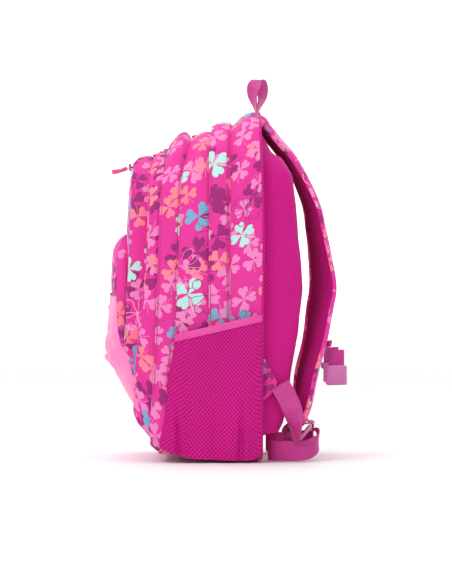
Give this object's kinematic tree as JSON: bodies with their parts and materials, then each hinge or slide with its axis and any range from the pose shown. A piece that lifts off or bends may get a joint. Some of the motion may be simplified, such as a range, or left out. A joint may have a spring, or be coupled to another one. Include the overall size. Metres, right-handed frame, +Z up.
{
  "type": "school backpack",
  "caption": "Zipped school backpack with padded shoulder straps, netting side pockets, front pockets, rain flaps over its zips and a webbing haul handle.",
  "frame": {"origin": "on the floor under the middle of the base, on the left-right centre plane", "axes": "+X to the wearer's right-hand pocket as seen from the back, +Y towards the back pads, +Z up"},
  "size_m": [0.3248, 0.3075, 0.4866],
  "materials": {
    "printed_cloth": "matt woven polyester with a clover print",
    "air_mesh": "knitted spacer mesh over foam",
    "netting": "open stretch netting",
    "plain_cloth": "plain woven polyester",
    "webbing": "ribbed woven webbing",
    "zip_tape": "woven zip tape with a coil",
    "ribbon": "satin ribbon",
    "moulded_plastic": "satin moulded plastic",
    "board": "stiff felted foam board"
  },
  "bodies": {
    "bag": {"back_panel": "air_mesh", "back_board": "board", "rear_gusset": "printed_cloth", "base_panel": "printed_cloth", "main_rain_flap": "printed_cloth", "main_zip_rear": "zip_tape", "back_pad_left": "air_mesh", "back_pad_right": "air_mesh", "lumbar_pad": "air_mesh", "strap_yoke": "printed_cloth", "side_pocket_left": "netting", "side_pocket_right": "netting", "pocket_binding_left": "plain_cloth", "pocket_binding_right": "plain_cloth", "lower_tab_left": "printed_cloth", "lower_tab_right": "printed_cloth"},
    "handle": {"haul_handle": "webbing"},
    "main_front": {"main_zip_front": "zip_tape", "main_front_gusset": "printed_cloth", "divider_panel": "printed_cloth", "front_base_panel": "printed_cloth", "second_rain_flap": "printed_cloth", "second_zip_rear": "zip_tape"},
    "pocket_front": {"second_zip_front": "zip_tape", "second_front_gusset": "printed_cloth", "front_panel": "printed_cloth", "upper_pocket": "printed_cloth", "upper_pocket_zip": "zip_tape", "lower_pocket_gusset": "printed_cloth", "lower_pocket_panel": "plain_cloth", "lower_pocket_zip": "zip_tape"},
    "strap_left": {"strap_foam_left": "air_mesh", "strap_cover_left": "printed_cloth", "strap_keeper_left": "webbing", "adjuster_left": "moulded_plastic", "lower_webbing_left": "webbing", "sternum_anchor_left": "webbing"},
    "sternum_left": {"sternum_webbing_left": "webbing", "buckle_plug": "moulded_plastic"},
    "main_slider_left": {"main_slider_left": "moulded_plastic"},
    "main_pull_left": {"main_pull_left": "ribbon"},
    "second_slider_left": {"second_slider_left": "moulded_plastic"},
    "second_pull_left": {"second_pull_left": "ribbon"},
    "strap_right": {"strap_foam_right": "air_mesh", "strap_cover_right": "printed_cloth", "strap_keeper_right": "webbing", "adjuster_right": "moulded_plastic", "lower_webbing_right": "webbing", "sternum_anchor_right": "webbing"},
    "sternum_right": {"sternum_webbing_right": "webbing", "buckle_socket": "moulded_plastic"},
    "main_slider_right": {"main_slider_right": "moulded_plastic"},
    "main_pull_right": {"main_pull_right": "ribbon"},
    "second_slider_right": {"second_slider_right": "moulded_plastic"},
    "second_pull_right": {"second_pull_right": "ribbon"},
    "upper_slider": {"upper_slider": "moulded_plastic"},
    "upper_pull": {"upper_pull": "ribbon"},
    "lower_slider": {"lower_slider": "moulded_plastic"},
    "lower_pull": {"lower_pull": "ribbon"}
  },
  "joints": [
    {"name": "main_compartment_open", "type": "hinge", "parent": "bag", "child": "main_front", "pos_m": [0, -0.045, 0.008], "axis": [1, 0, 0], "range_deg": [0, 12]},
    {"name": "second_compartment_open", "type": "hinge", "parent": "main_front", "child": "pocket_front", "pos_m": [0, -0.076, 0.04], "axis": [1, 0, 0], "range_deg": [0, 14]},
    {"name": "haul_handle_fold", "type": "hinge", "parent": "bag", "child": "handle", "pos_m": [0, 0.057, 0.4395], "axis": [1, 0, 0], "range_deg": [-60, 60], "stiffness_Nm_per_rad": 0.02},
    {"name": "strap_swing_left", "type": "hinge", "parent": "bag", "child": "strap_left", "pos_m": [0, 0.066, 0.42], "axis": [1, 0, 0], "range_deg": [-0.5, 15], "deforming": ["lower_webbing_left"]},
    {"name": "sternum_swing_left", "type": "hinge", "parent": "strap_left", "child": "sternum_left", "pos_m": [-0.09644, 0.14623, 0.13917], "axis": [0.9201, -0.3676, -0.135], "range_deg": [-5, 75]},
    {"name": "main_zip_slide_left", "type": "slide", "parent": "main_front", "child": "main_slider_left", "axis": [-1, 0, 0], "range_m": [0, 0.042]},
    {"name": "main_pull_swing_left", "type": "hinge", "parent": "main_slider_left", "child": "main_pull_left", "pos_m": [-0.0075, -0.007, 0.4175], "axis": [-1, 0, 0], "range_deg": [0, 70]},
    {"name": "second_zip_slide_left", "type": "slide", "parent": "pocket_front", "child": "second_slider_left", "axis": [-1, 0, 0], "range_m": [0, 0.04]},
    {"name": "second_pull_swing_left", "type": "hinge", "parent": "second_slider_left", "child": "second_pull_left", "pos_m": [-0.0075, -0.065, 0.393], "axis": [-1, 0, 0], "range_deg": [0, 70]},
    {"name": "strap_swing_right", "type": "hinge", "parent": "bag", "child": "strap_right", "pos_m": [0, 0.066, 0.42], "axis": [1, 0, 0], "range_deg": [-0.5, 15], "deforming": ["lower_webbing_right"]},
    {"name": "sternum_swing_right", "type": "hinge", "parent": "strap_right", "child": "sternum_right", "pos_m": [0.09644, 0.14623, 0.13917], "axis": [0.9201, 0.3676, 0.135], "range_deg": [-5, 75]},
    {"name": "main_zip_slide_right", "type": "slide", "parent": "main_front", "child": "main_slider_right", "axis": [1, 0, 0], "range_m": [0, 0.042]},
    {"name": "main_pull_swing_right", "type": "hinge", "parent": "main_slider_right", "child": "main_pull_right", "pos_m": [0.0075, -0.007, 0.4175], "axis": [-1, 0, 0], "range_deg": [0, 70]},
    {"name": "second_zip_slide_right", "type": "slide", "parent": "pocket_front", "child": "second_slider_right", "axis": [1, 0, 0], "range_m": [0, 0.04]},
    {"name": "second_pull_swing_right", "type": "hinge", "parent": "second_slider_right", "child": "second_pull_right", "pos_m": [0.0075, -0.065, 0.393], "axis": [-1, 0, 0], "range_deg": [0, 70]},
    {"name": "upper_zip_slide", "type": "slide", "parent": "pocket_front", "child": "upper_slider", "axis": [-1, 0, 0], "range_m": [0, 0.124]},
    {"name": "upper_pull_swing", "type": "hinge", "parent": "upper_slider", "child": "upper_pull", "pos_m": [0.062, -0.1075, 0.37], "axis": [-1, 0, 0], "range_deg": [-15, 70]},
    {"name": "lower_zip_slide", "type": "slide", "parent": "pocket_front", "child": "lower_slider", "axis": [1, 0, 0], "range_m": [0, 0.156]},
    {"name": "lower_pull_swing", "type": "hinge", "parent": "lower_slider", "child": "lower_pull", "pos_m": [-0.078, -0.1335, 0.21], "axis": [-1, 0, 0], "range_deg": [0, 90]}
  ]
}
